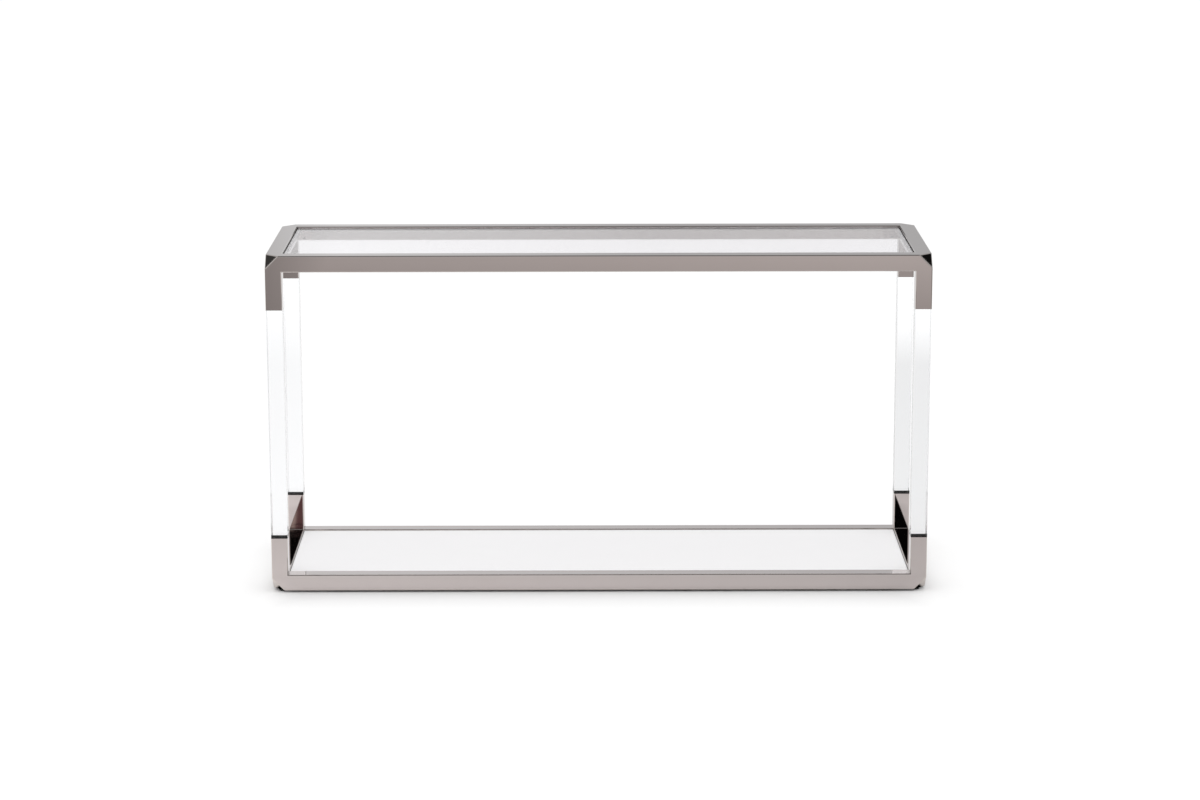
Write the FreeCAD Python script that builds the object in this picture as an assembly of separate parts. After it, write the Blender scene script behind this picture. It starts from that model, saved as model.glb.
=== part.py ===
import FreeCAD, Part
import math
import os

os.makedirs("parts", exist_ok=True)

# A console table: a box frame of polished square tube on clear acrylic legs, with a glass top and a
# lower shelf set flush into the frame. X is the width, Y the depth with the front at -Y, Z is up.
# The origin is on the floor, under the middle of the table.

# Overall sizes
overall_width = 1524.0
overall_depth = 457.0
overall_height = 795.0

# Square tube of the frame
tube_side = 38.1
tube_wall = 1.6
tube_edge_radius = 2.4
sleeve_length = 126.0            # from the outer face of the frame to the rim that meets the acrylic

# Flat cut across each outer corner, closed by a triangular plate
corner_cut = 30.0                # from the sharp corner, along each of the three edges
corner_plate_thickness = 2.0

# Solid acrylic posts, with a tenon at each end
tenon_length = 60.0
tenon_clearance = 0.3            # on each side, inside the sleeve

# Grub screws, from the back of each sleeve into the tenon
screw_diameter = 5.0
screw_length = 10.0
screw_clearance = 0.1            # on the radius
screw_recess = 0.2               # below the face of the sleeve
screw_socket_width = 2.5         # across the flats of the hexagon
screw_socket_depth = 3.0

# Glass top, inset in the top frame
glass_thickness = 6.0
glass_recess = 3.5               # below the top of the frame
glass_gap = 1.2                  # between its edge and the tube
glass_bevel = 0.8

# Lower shelf, inset in the lower frame
shelf_thickness = 8.0
shelf_recess = 2.5
shelf_gap = 0.8
shelf_bevel = 0.8

# Flat bars welded inside the frames, and the pads that the panels lie on
ledge_width = 9.0
ledge_thickness = 3.0
pad_side = 7.0
pad_thickness = 1.0
pads_on_long_ledge = 5
pads_on_short_ledge = 2

# Glides under the corners of the lower frame
glide_height = 4.5
glide_diameter = 20.0
glide_inset = 24.0               # from the two outer faces of the corner to the middle of the glide
glide_stem_diameter = 6.0
glide_stem_length = 14.0
glide_stem_clearance = 0.1       # on the radius

# Levels and places that follow from them
frame_bottom = glide_height
frame_top = overall_height
half_width = overall_width / 2
half_depth = overall_depth / 2
post_x = half_width - tube_side / 2
post_y = half_depth - tube_side / 2
bottom_rim = frame_bottom + sleeve_length
top_rim = frame_top - sleeve_length
inner_half_width = half_width - tube_side
inner_half_depth = half_depth - tube_side
glass_top_level = frame_top - glass_recess
shelf_top_level = frame_bottom + tube_side - shelf_recess
glass_ledge_level = glass_top_level - glass_thickness - pad_thickness
shelf_ledge_level = shelf_top_level - shelf_thickness - pad_thickness

UP = FreeCAD.Vector(0, 0, 1)
BACKWARDS = FreeCAD.Vector(0, 1, 0)
SIDES_X = {"left": -1, "right": 1}
SIDES_Y = {"front": -1, "back": 1}
SIDES_Z = {"bottom": -1, "top": 1}


def block(low, high):
    """A box between its lowest and highest corners."""
    length, width, height = (far - near for near, far in zip(low, high))
    return Part.makeBox(length, width, height, FreeCAD.Vector(*low))


def rounded_bar(low, high, axis, radius):
    """A bar along one axis (0, 1 or 2), with its four long edges rounded."""
    bar = block(low, high)
    long_edges = [edge for edge in bar.Edges if abs(edge.tangentAt(edge.FirstParameter)[axis]) > 0.5]
    return bar.makeFillet(radius, long_edges)


def square_tube(low, high, axis):
    """Square tube along one axis, open at both ends."""
    bore_low = [near if side == axis else near + tube_wall for side, near in enumerate(low)]
    bore_high = [far if side == axis else far - tube_wall for side, far in enumerate(high)]
    return rounded_bar(low, high, axis, tube_edge_radius).cut(block(bore_low, bore_high))


def cut_beyond(shape, point, normal):
    """Take away what lies past the plane through point, on the side that normal points to."""
    reach = 2 * overall_width
    beyond = Part.makeBox(2 * reach, 2 * reach, reach, FreeCAD.Vector(-reach, -reach, 0))
    tilt = FreeCAD.Placement(point, FreeCAD.Rotation(UP, normal))
    return shape.cut(beyond.transformed(tilt.Matrix))


def outer_corner(side_x, side_y, side_z):
    """The sharp outer corner of the frame, and the three directions that lead from it into the table."""
    level = frame_top if side_z > 0 else frame_bottom
    point = FreeCAD.Vector(side_x * half_width, side_y * half_depth, level)
    inward = [FreeCAD.Vector(-side_x, 0, 0), FreeCAD.Vector(0, -side_y, 0), FreeCAD.Vector(0, 0, -side_z)]
    return point, inward


def facet_plane(point, inward, depth):
    """A point on the corner's facet, or on a plane depth behind it, and the facet's outward normal."""
    diagonal = inward[0] + inward[1] + inward[2]
    distance = corner_cut + depth * math.sqrt(3)
    return point + diagonal * (distance / 3), diagonal * (-1 / math.sqrt(3))


def mitred(tube, axis, side_x, side_y, side_z):
    """Cut the end of a tube so that three tubes meet in the corner, and cut the seat of its plate."""
    point, inward = outer_corner(side_x, side_y, side_z)
    for other in range(3):
        if other != axis:
            tube = cut_beyond(tube, point, inward[other] - inward[axis])
    seat, outward = facet_plane(point, inward, corner_plate_thickness)
    return cut_beyond(tube, seat, outward)


def corner_plate(side_x, side_y, side_z):
    """The triangular plate in a cut corner, with edges bevelled to lie flush with the three tubes."""
    point, inward = outer_corner(side_x, side_y, side_z)
    reach = corner_cut + 2 * corner_plate_thickness
    far = point + (inward[0] + inward[1] + inward[2]) * reach
    low = [min(near, end) for near, end in zip(point, far)]
    high = [max(near, end) for near, end in zip(point, far)]
    corner = block(low, high)
    sharp = Part.Vertex(point)
    outer_edges = [edge for edge in corner.Edges if edge.distToShape(sharp)[0] < tube_edge_radius]
    corner = corner.makeFillet(tube_edge_radius, outer_edges)
    face, outward = facet_plane(point, inward, 0)
    back, _ = facet_plane(point, inward, corner_plate_thickness)
    return cut_beyond(cut_beyond(corner, face, outward), back, outward * -1)


def screw_level(side_z):
    """The height of the grub screw: the middle of the tenon."""
    return top_rim + tenon_length / 2 if side_z > 0 else bottom_rim - tenon_length / 2


def screw_bore(side_x, side_y, side_z):
    """The hole through the back wall of a sleeve and into the tenon behind it."""
    depth = screw_recess + screw_length + screw_clearance
    mouth = FreeCAD.Vector(side_x * post_x, side_y * post_y + tube_side / 2, screw_level(side_z))
    return Part.makeCylinder(screw_diameter / 2 + screw_clearance, depth, mouth, BACKWARDS * -1)


def glide_seat(side_x, side_y):
    """Where a glide meets the underside of the lower frame, on the mitre of two rails."""
    return FreeCAD.Vector(
        side_x * (half_width - glide_inset), side_y * (half_depth - glide_inset), frame_bottom)


def glide_bore(side_x, side_y):
    """The hole for a glide's stem, through the bottom walls of the two rails that meet there."""
    radius = glide_stem_diameter / 2 + glide_stem_clearance
    return Part.makeCylinder(radius, 3 * tube_wall, glide_seat(side_x, side_y) - UP * tube_wall)


def x_rail(side_y, side_z):
    """A front or back rail of either frame, over the whole width."""
    edge = side_y * half_depth
    level = frame_top if side_z > 0 else frame_bottom
    low = (-half_width, min(edge, edge - side_y * tube_side), min(level, level - side_z * tube_side))
    high = (half_width, low[1] + tube_side, low[2] + tube_side)
    rail = square_tube(low, high, 0)
    for side_x in SIDES_X.values():
        rail = mitred(rail, 0, side_x, side_y, side_z)
        if side_z < 0:
            rail = rail.cut(glide_bore(side_x, side_y))
    return rail


def y_rail(side_x, side_z):
    """A left or right rail of either frame, over the whole depth."""
    edge = side_x * half_width
    level = frame_top if side_z > 0 else frame_bottom
    low = (min(edge, edge - side_x * tube_side), -half_depth, min(level, level - side_z * tube_side))
    high = (low[0] + tube_side, half_depth, low[2] + tube_side)
    rail = square_tube(low, high, 1)
    for side_y in SIDES_Y.values():
        rail = mitred(rail, 1, side_x, side_y, side_z)
        if side_z < 0:
            rail = rail.cut(glide_bore(side_x, side_y))
    return rail


def leg_outline(side_x, side_y, bottom, top, inset=0.0):
    """Lowest and highest corners of a square leg section, drawn in by inset on each side."""
    half = tube_side / 2 - inset
    low = (side_x * post_x - half, side_y * post_y - half, bottom)
    high = (side_x * post_x + half, side_y * post_y + half, top)
    return low, high


def sleeve(side_x, side_y, side_z):
    """The metal part of a leg: one end mitred into the corner, the other open for the tenon."""
    bottom, top = (top_rim, frame_top) if side_z > 0 else (frame_bottom, bottom_rim)
    low, high = leg_outline(side_x, side_y, bottom, top)
    tube = mitred(square_tube(low, high, 2), 2, side_x, side_y, side_z)
    return tube.cut(screw_bore(side_x, side_y, side_z))


def post(side_x, side_y):
    """A solid acrylic post: full section between the rims, shouldered down to a tenon at each end."""
    low, high = leg_outline(side_x, side_y, bottom_rim, top_rim)
    full = rounded_bar(low, high, 2, tube_edge_radius)
    inset = tube_wall + tenon_clearance
    core = block(*leg_outline(side_x, side_y, bottom_rim - tenon_length, top_rim + tenon_length, inset))
    solid = full.fuse(core).removeSplitter()
    for side_z in SIDES_Z.values():
        solid = solid.cut(screw_bore(side_x, side_y, side_z))
    return solid


def grub_screw(side_x, side_y, side_z):
    """A grub screw with a hexagon socket, just below the back face of its sleeve."""
    outer_end = FreeCAD.Vector(
        side_x * post_x, side_y * post_y + tube_side / 2 - screw_recess, screw_level(side_z))
    screw = Part.makeCylinder(screw_diameter / 2, screw_length, outer_end, BACKWARDS * -1)
    corner_radius = screw_socket_width / math.sqrt(3)
    angles = [math.radians(60 * turn) for turn in range(7)]
    corners = [outer_end + FreeCAD.Vector(math.cos(angle), 0, math.sin(angle)) * corner_radius
               for angle in angles]
    socket = Part.Face(Part.makePolygon(corners)).extrude(BACKWARDS * -screw_socket_depth)
    return screw.cut(socket)


def ledges(level):
    """The four flat bars inside a frame, by side, with their upper faces at level."""
    low, high = level - ledge_thickness, level
    bars = {}
    for name, side_y in SIDES_Y.items():
        edges = sorted((side_y * inner_half_depth, side_y * (inner_half_depth - ledge_width)))
        bars[name] = block((-inner_half_width, edges[0], low), (inner_half_width, edges[1], high))
    between = inner_half_depth - ledge_width
    for name, side_x in SIDES_X.items():
        edges = sorted((side_x * inner_half_width, side_x * (inner_half_width - ledge_width)))
        bars[name] = block((edges[0], -between, low), (edges[1], between, high))
    return bars


def pads(level):
    """The square pads on the ledges of one frame, spaced evenly, with their undersides at level."""
    line_x = inner_half_width - ledge_width / 2
    line_y = inner_half_depth - ledge_width / 2
    places = []
    for index in range(pads_on_long_ledge):
        along = inner_half_width * (2 * (index + 0.5) / pads_on_long_ledge - 1)
        places += [(along, line_y), (along, -line_y)]
    for index in range(pads_on_short_ledge):
        along = inner_half_depth * (2 * (index + 0.5) / pads_on_short_ledge - 1)
        places += [(line_x, along), (-line_x, along)]
    half = pad_side / 2
    return Part.makeCompound([
        block((x - half, y - half, level), (x + half, y + half, level + pad_thickness)) for x, y in places])


def panel(gap, thickness, top):
    """A flat panel that fills a frame but for the gap all round."""
    x = inner_half_width - gap
    y = inner_half_depth - gap
    return block((-x, -y, top - thickness), (x, y, top))


def glide(side_x, side_y):
    """A round glide with a stem that goes up through the walls of the two rails."""
    seat = glide_seat(side_x, side_y)
    foot = Part.makeCylinder(glide_diameter / 2, glide_height, seat - UP * glide_height)
    stem = Part.makeCylinder(glide_stem_diameter / 2, glide_stem_length, seat)
    return foot.fuse(stem)


def export(name, shape):
    shape.exportStep("parts/" + name + ".step")


for level_name, side_z in SIDES_Z.items():
    for y_name, side_y in SIDES_Y.items():
        export(level_name + "_" + y_name + "_rail", x_rail(side_y, side_z))
    for x_name, side_x in SIDES_X.items():
        export(level_name + "_" + x_name + "_rail", y_rail(side_x, side_z))
    ledge_level = glass_ledge_level if side_z > 0 else shelf_ledge_level
    for side_name, bar in ledges(ledge_level).items():
        export(level_name + "_" + side_name + "_ledge", bar)

screws = []
for y_name, side_y in SIDES_Y.items():
    for x_name, side_x in SIDES_X.items():
        place = y_name + "_" + x_name
        export(place + "_post", post(side_x, side_y))
        export(place + "_glide", glide(side_x, side_y))
        for level_name, side_z in SIDES_Z.items():
            export(place + "_" + level_name + "_sleeve", sleeve(side_x, side_y, side_z))
            export(place + "_" + level_name + "_corner_plate", corner_plate(side_x, side_y, side_z))
            screws.append(grub_screw(side_x, side_y, side_z))
export("post_screws", Part.makeCompound(screws))

glass = panel(glass_gap, glass_thickness, glass_top_level)
export("glass_top", glass.makeChamfer(glass_bevel, glass.Edges))
shelf = panel(shelf_gap, shelf_thickness, shelf_top_level)
export("lower_shelf", shelf.makeChamfer(shelf_bevel, shelf.Edges))
export("glass_pads", pads(glass_ledge_level))
export("shelf_pads", pads(shelf_ledge_level))
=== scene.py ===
import math

import bmesh
import bpy
from mathutils import Matrix, Vector


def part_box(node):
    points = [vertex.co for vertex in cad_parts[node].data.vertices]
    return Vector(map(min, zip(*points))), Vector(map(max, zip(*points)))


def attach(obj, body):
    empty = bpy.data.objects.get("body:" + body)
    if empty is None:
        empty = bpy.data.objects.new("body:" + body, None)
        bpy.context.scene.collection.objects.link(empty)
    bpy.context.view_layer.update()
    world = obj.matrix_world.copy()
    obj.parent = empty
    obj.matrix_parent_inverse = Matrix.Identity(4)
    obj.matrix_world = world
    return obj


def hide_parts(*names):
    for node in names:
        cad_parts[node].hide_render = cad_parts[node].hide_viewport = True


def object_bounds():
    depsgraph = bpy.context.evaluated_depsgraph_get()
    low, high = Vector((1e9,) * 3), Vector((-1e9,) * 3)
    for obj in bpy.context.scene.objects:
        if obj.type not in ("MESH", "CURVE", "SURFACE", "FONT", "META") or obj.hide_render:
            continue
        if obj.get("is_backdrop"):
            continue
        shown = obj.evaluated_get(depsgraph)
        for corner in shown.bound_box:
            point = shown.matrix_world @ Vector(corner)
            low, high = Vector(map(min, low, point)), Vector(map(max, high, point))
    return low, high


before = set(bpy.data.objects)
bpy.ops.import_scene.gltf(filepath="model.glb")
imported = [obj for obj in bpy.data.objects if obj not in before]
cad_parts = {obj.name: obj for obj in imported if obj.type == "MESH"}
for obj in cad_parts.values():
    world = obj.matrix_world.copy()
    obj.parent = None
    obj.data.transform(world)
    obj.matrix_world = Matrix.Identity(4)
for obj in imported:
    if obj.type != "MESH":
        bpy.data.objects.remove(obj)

# The console table: a polished nickel frame on clear acrylic posts, with a glass top and a white lower
# shelf. Everything is in metres, on the CAD model's axes: X is the width, -Y the front, Z is up.

cad_low, cad_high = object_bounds()
scene = bpy.context.scene
scene.view_settings.view_transform = "Standard"
MM = 0.001


# ---------------------------------------------------------------------------------------------------
# Camera
# A long lens stands some seven metres in front of the table, above a standing person's eye height, and
# looks slightly down on it from almost opposite its middle.

camera_data = bpy.data.cameras.new("camera")
camera_data.sensor_width = 36.0
camera_data.lens = 95.5
camera = bpy.data.objects.new("camera", camera_data)
scene.collection.objects.link(camera)
scene.camera = camera

eye = Vector((-0.0133, -7.384, 2.017))
down = math.radians(12.29)
turn = math.radians(-0.126)
roll = math.radians(-0.097)
camera.matrix_world = (
    Matrix.Translation(eye)
    @ Matrix.Rotation(turn, 4, "Z")
    @ Matrix.Rotation(math.pi / 2 - down, 4, "X")
    @ Matrix.Rotation(roll, 4, "Z")
)


# ---------------------------------------------------------------------------------------------------
# Studio
# A white floor runs out in soft light, under one large softbox. What metal and glass mirror is a plain
# room: a white wall, brightest to the left, and a pale ceiling, dark over the table's middle and corners.
# Where metal mirrors metal, the wall in front has a dark gap, with a pale and red-brown strip low in it.

def linear(hex_colour):
    """The linear colour of an sRGB hex value such as 'c0b8b6', with alpha 1."""
    channels = [int(hex_colour[start:start + 2], 16) / 255 for start in (0, 2, 4)]
    return tuple(c / 12.92 if c <= 0.04045 else ((c + 0.055) / 1.055) ** 2.4 for c in channels) + (1.0,)


def add(tree, kind, inputs=None, **settings):
    """Add a shader node. Settings are its properties. An input takes a value, a socket, or another
    node, whose first output it is then linked to."""
    new = tree.nodes.new("ShaderNode" + kind)
    for name, value in settings.items():
        setattr(new, name, value)
    for name, value in (inputs or {}).items():
        if isinstance(value, bpy.types.Node):
            value = value.outputs[0]
        if isinstance(value, bpy.types.NodeSocket):
            tree.links.new(value, new.inputs[name])
        else:
            new.inputs[name].default_value = value
    return new


SOFT_LIGHT = 1.05

# Where the dark corners of the ceiling, the gap in the wall and the strip lie, as seen from the table.
CORNER_WAY = Vector((0.80, 0.285, 0.527)).normalized()
CORNER_MIDDLE, CORNER_EDGE = math.radians(8), math.radians(15)
GAP_HEIGHT = math.radians(17.2)
GAP_MIDDLE, GAP_EDGE = math.radians(7.5), math.radians(10)
STRIP_TOP, STRIP_FADE = math.radians(14.50), math.radians(0.02)

world = bpy.data.worlds.new("studio")
scene.world = world
world.use_nodes = True
tree = world.node_tree
tree.nodes.clear()
direction = add(tree, "TexCoord").outputs["Generated"]
axes = add(tree, "SeparateXYZ", {"Vector": direction})
low_wall = add(tree, "MapRange", {"Value": axes.outputs["X"], "From Min": -0.09, "From Max": 0.02,
                                  "To Min": 0.84, "To Max": 0.55})
left_end = add(tree, "MapRange", {"Value": axes.outputs["X"], "From Min": -0.105, "From Max": -0.080,
                                  "To Min": 0.74, "To Max": 1.0})
low_wall = add(tree, "Math", {0: low_wall, 1: left_end}, operation="MULTIPLY")
high_wall = add(tree, "MapRange", {"Value": axes.outputs["X"], "From Min": -0.08, "From Max": 0.08,
                                   "To Min": 0.84, "To Max": 0.68})
up_the_wall = add(tree, "MapRange", {"Value": axes.outputs["Z"], "From Min": 0.168, "From Max": 0.26})
wall = add(tree, "Mix", {"Factor": up_the_wall, "A": low_wall, "B": high_wall})
dark_ceiling = add(tree, "MapRange", {"Value": axes.outputs["X"], "From Min": -0.8, "From Max": 0.8,
                                      "To Min": 0.06, "To Max": 0.008})
either_side = add(tree, "VectorMath", {0: direction}, operation="ABSOLUTE")
off_middle = add(tree, "MapRange", {"Value": add(tree, "SeparateXYZ", {"Vector": either_side}),
                                    "From Min": 0.15, "From Max": 0.32}, interpolation_type="SMOOTHSTEP")
from_corner = add(tree, "VectorMath", {0: either_side, 1: CORNER_WAY}, operation="DOT_PRODUCT")
off_corner = add(tree, "MapRange", {"Value": from_corner.outputs["Value"],
                                    "From Min": math.cos(CORNER_MIDDLE),
                                    "From Max": math.cos(CORNER_EDGE)}, interpolation_type="SMOOTHSTEP")
lit_ceiling = add(tree, "Math", {0: off_middle, 1: off_corner}, operation="MULTIPLY")
straight_up = add(tree, "MapRange", {"Value": axes.outputs["Z"], "From Min": 0.95, "From Max": 0.97},
                  interpolation_type="SMOOTHSTEP")
lit_ceiling = add(tree, "Math", {0: lit_ceiling, 1: straight_up}, operation="MAXIMUM")
pale_ceiling = add(tree, "MapRange", {"Value": axes.outputs["X"], "From Min": -0.8, "From Max": 0.8,
                                      "To Min": 0.72, "To Max": 0.50})
ceiling = add(tree, "Mix", {"Factor": lit_ceiling, "A": dark_ceiling, "B": pale_ceiling})
overhead = add(tree, "MapRange", {"Value": axes.outputs["Z"], "From Min": 0.34, "From Max": 0.48},
               interpolation_type="SMOOTHSTEP")
room = add(tree, "Mix", {"Factor": overhead, "A": wall, "B": ceiling})
room_colour = add(tree, "VectorMath", {0: linear("fcfeff")[:3], "Scale": room}, operation="SCALE")
middle_of_gap = Vector((0.0, -math.cos(GAP_HEIGHT), math.sin(GAP_HEIGHT)))
towards_gap = add(tree, "VectorMath", {0: direction, 1: middle_of_gap}, operation="DOT_PRODUCT")
in_gap = add(tree, "MapRange", {"Value": towards_gap.outputs["Value"],
                                "From Min": math.cos(GAP_EDGE),
                                "From Max": math.cos(GAP_MIDDLE)}, interpolation_type="SMOOTHSTEP")
path = add(tree, "LightPath")
metal_in_metal = add(tree, "Math", {0: path.outputs["Glossy Depth"], 1: 1.5}, operation="GREATER_THAN")
in_gap = add(tree, "Math", {0: in_gap, 1: metal_in_metal}, operation="MULTIPLY")
over_strip = add(tree, "MapRange", {"Value": axes.outputs["Z"],
                                    "From Min": math.sin(STRIP_TOP),
                                    "From Max": math.sin(STRIP_TOP + STRIP_FADE)})
beyond_strip = add(tree, "MapRange", {"Value": axes.outputs["X"], "From Min": -0.03, "From Max": 0.03})
off_strip = add(tree, "Math", {0: over_strip, 1: beyond_strip}, operation="MAXIMUM")
on_brown = add(tree, "MapRange", {"Value": axes.outputs["X"], "From Min": -0.0935, "From Max": -0.0930})
strip_colour = add(tree, "Mix", {0: on_brown, 6: linear("d0bfb8"), 7: linear("7f6061")},
                   data_type="RGBA").outputs[2]
gap_colour = add(tree, "Mix", {0: off_strip, 6: strip_colour, 7: linear("0c0c0c")},
                 data_type="RGBA").outputs[2]
mirrored = add(tree, "Mix", {0: in_gap, 6: room_colour, 7: gap_colour}, data_type="RGBA").outputs[2]
lit_or_mirrored = add(tree, "Mix", {0: path.outputs["Is Glossy Ray"],
                                    6: (SOFT_LIGHT, SOFT_LIGHT, SOFT_LIGHT, 1.0), 7: mirrored},
                      data_type="RGBA").outputs[2]
looked_at = add(tree, "Math", {0: path.outputs["Is Camera Ray"], 1: path.outputs["Is Transmission Ray"]},
                operation="MAXIMUM")
seen = add(tree, "Mix", {0: looked_at, 6: lit_or_mirrored, 7: (1.0, 1.0, 1.0, 1.0)},
           data_type="RGBA").outputs[2]
add(tree, "OutputWorld", {"Surface": add(tree, "Background", {"Color": seen, "Strength": 1.0})})

softbox_data = bpy.data.lights.new("softbox", "AREA")
softbox_data.shape = "RECTANGLE"
softbox_data.size = 2.6
softbox_data.size_y = 1.4
softbox_data.energy = 7.0
softbox = bpy.data.objects.new("softbox", softbox_data)
softbox.location = (-0.3, -0.5, 2.7)
softbox.rotation_euler = (math.radians(-8), 0, 0)
softbox.visible_glossy = False
softbox.visible_transmission = False
softbox.visible_camera = False
scene.collection.objects.link(softbox)

FLOOR_REACH = 30.0
FLOOR_PAINT = 0.86
FLOOR_GLOW = 0.12

floor_mesh = bpy.data.meshes.new("floor")
floor_bm = bmesh.new()
bmesh.ops.create_grid(floor_bm, x_segments=12, y_segments=12, size=FLOOR_REACH)
floor_bm.to_mesh(floor_mesh)
floor_bm.free()
floor = bpy.data.objects.new("floor", floor_mesh)
floor.location = (0, 0, cad_low.z)
scene.collection.objects.link(floor)
floor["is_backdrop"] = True

# Painted white floor: it takes the table's shadow, and a little glow of its own keeps the open floor
# white. The glow stops short of the table, which paints a shadow that keeps the gap under the lower frame
# dark. What the metal mirrors of it is painted light and shade: painted black under the table, a painted
# pool of light round its foot, painted dimming far in front and beyond both ends, and a painted warm tint
# far off. Seen through clear pieces, painted light makes it brightest behind the table.
floor_paint = bpy.data.materials.new("white_floor_paint")
floor_paint.use_nodes = True
tree = floor_paint.node_tree
tree.nodes.clear()
place = add(tree, "SeparateXYZ", {"Vector": add(tree, "TexCoord").outputs["Object"]})
# What metal mirrors of the floor near the table is painted light and shade: dimmer to the right, a painted
# pool of light at the table's foot, and painted black under it.
near_floor = add(tree, "MapRange", {"Value": place.outputs["X"], "From Min": -0.76, "From Max": 0.76,
                                    "To Min": 0.94, "To Max": 0.77})
from_middle = [add(tree, "Math", {0: place.outputs[axis]}, operation="ABSOLUTE") for axis in ("X", "Y")]
painted_light_at_foot = add(tree, "MapRange", {"Value": from_middle[1], "From Min": 0.235, "From Max": 0.36,
                                 "To Min": 1.18, "To Max": 1.0})
near_floor = add(tree, "Math", {0: near_floor, 1: painted_light_at_foot}, operation="MULTIPLY")
outside_painted_black = [add(tree, "MapRange", {"Value": distance, "From Min": edge - 6 * MM, "From Max": edge})
           for distance, edge in zip(from_middle, cad_high)]
outside_painted_black = add(tree, "Math", {0: outside_painted_black[0], 1: outside_painted_black[1]}, operation="MAXIMUM")
near_floor = add(tree, "Math", {0: near_floor, 1: outside_painted_black}, operation="MULTIPLY")
# Painted dimming of the mirrored floor far in front, to the right and beyond both ends.
far_floor = add(tree, "MapRange", {"Value": place.outputs["X"], "From Min": -1.0, "From Max": 1.0,
                                   "To Min": 0.56, "To Max": 0.67})
far_left = add(tree, "MapRange", {"Value": place.outputs["X"], "From Min": -1.20, "From Max": -1.00,
                                  "To Min": 0.72, "To Max": 1.0})
far_right = add(tree, "MapRange", {"Value": place.outputs["X"], "From Min": 1.6, "From Max": 2.6,
                                   "To Min": 1.0, "To Max": 0.35})
beside_table = add(tree, "MapRange", {"Value": place.outputs["Y"], "From Min": -1.2, "From Max": -0.5})
far_right = add(tree, "Math", {0: far_right, 1: beside_table}, operation="MAXIMUM")
less_far = add(tree, "MapRange", {"Value": place.outputs["Y"], "From Min": -4.75, "From Max": -3.75,
                                  "To Min": 1.0, "To Max": 0.76})
for change in (far_left, less_far):
    far_floor = add(tree, "Math", {0: far_floor, 1: change}, operation="MULTIPLY")
nearness = add(tree, "MapRange", {"Value": place.outputs["Y"], "From Min": -2.2, "From Max": -0.3})
mirrored_floor = add(tree, "Mix", {"Factor": nearness, "A": far_floor, "B": near_floor})
mirrored_floor = add(tree, "Math", {0: mirrored_floor, 1: far_right}, operation="MULTIPLY")
# Painted light on the floor as seen through clear pieces: brightest behind the table.
through_front = add(tree, "MapRange", {"Value": place.outputs["X"], "From Min": -0.8, "From Max": 0.8,
                                       "To Min": 1.06, "To Max": 1.0})
through_middle = add(tree, "MapRange", {"Value": place.outputs["X"], "From Min": -0.8, "From Max": 0.8,
                                        "To Min": 0.96, "To Max": 0.845})
through_back = add(tree, "MapRange", {"Value": place.outputs["X"], "From Min": -1.0, "From Max": 0.4,
                                      "To Min": 1.06, "To Max": 1.16})
past_front = add(tree, "MapRange", {"Value": place.outputs["Y"], "From Min": -2.5, "From Max": -1.5})
to_back = add(tree, "MapRange", {"Value": place.outputs["Y"], "From Min": 2.4, "From Max": 3.4})
floor_through = add(tree, "Mix", {"Factor": past_front, "A": through_front, "B": through_middle})
floor_through = add(tree, "Mix", {"Factor": to_back, "A": floor_through, "B": through_back})
path = add(tree, "LightPath")
through = path.outputs["Is Transmission Ray"]
only_mirrored = add(tree, "Math", {0: path.outputs["Is Glossy Ray"], 1: through}, operation="SUBTRACT",
                    use_clamp=True)
level = add(tree, "Mix", {"Factor": through, "A": 1.0, "B": floor_through})
level = add(tree, "Mix", {"Factor": only_mirrored, "A": level, "B": mirrored_floor})
# The glow is left out round and under the table: a painted shadow at its foot.
beside = add(tree, "MapRange", {"Value": from_middle[0], "From Min": 0.69, "From Max": 0.78})
before = add(tree, "MapRange", {"Value": from_middle[1], "From Min": 0.25, "From Max": 0.40})
clear_of_painted_shadow = add(tree, "Math", {0: beside, 1: before}, operation="MAXIMUM")
not_lighting = add(tree, "Math", {0: 1.0, 1: path.outputs["Is Diffuse Ray"]}, operation="SUBTRACT")
glow_level = add(tree, "Math", {0: level, 1: FLOOR_GLOW}, operation="MULTIPLY")
glow_level = add(tree, "Math", {0: glow_level, 1: clear_of_painted_shadow}, operation="MULTIPLY")
glow_level = add(tree, "Math", {0: glow_level, 1: not_lighting}, operation="MULTIPLY")
glow = add(tree, "Emission", {"Color": (1, 1, 1, 1), "Strength": glow_level})
paint_level = add(tree, "Math", {0: level, 1: FLOOR_PAINT}, operation="MULTIPLY")
# A painted warm tint on what metal mirrors of the floor far from the table.
warm = add(tree, "Math", {0: only_mirrored, 1: nearness}, operation="SUBTRACT", use_clamp=True)
warmth = add(tree, "Mix", {0: warm, 6: linear("ffffff"), 7: linear("fffaf7")}, data_type="RGBA").outputs[2]
paint_colour = add(tree, "VectorMath", {0: warmth, "Scale": paint_level}, operation="SCALE")
paint = add(tree, "BsdfDiffuse", {"Color": paint_colour})
add(tree, "OutputMaterial", {"Surface": add(tree, "AddShader", {0: glow, 1: paint})})
floor_mesh.materials.append(floor_paint)


# ---------------------------------------------------------------------------------------------------
# Tube frames
# The upper and the lower frame are each welded up from four mitred lengths of square steel tube and
# four short sleeves, with every outer corner cut off flat and closed by a plate. The welds are ground
# flush before the whole is nickel plated and buffed, so only the fillets in the inside corners show.

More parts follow.
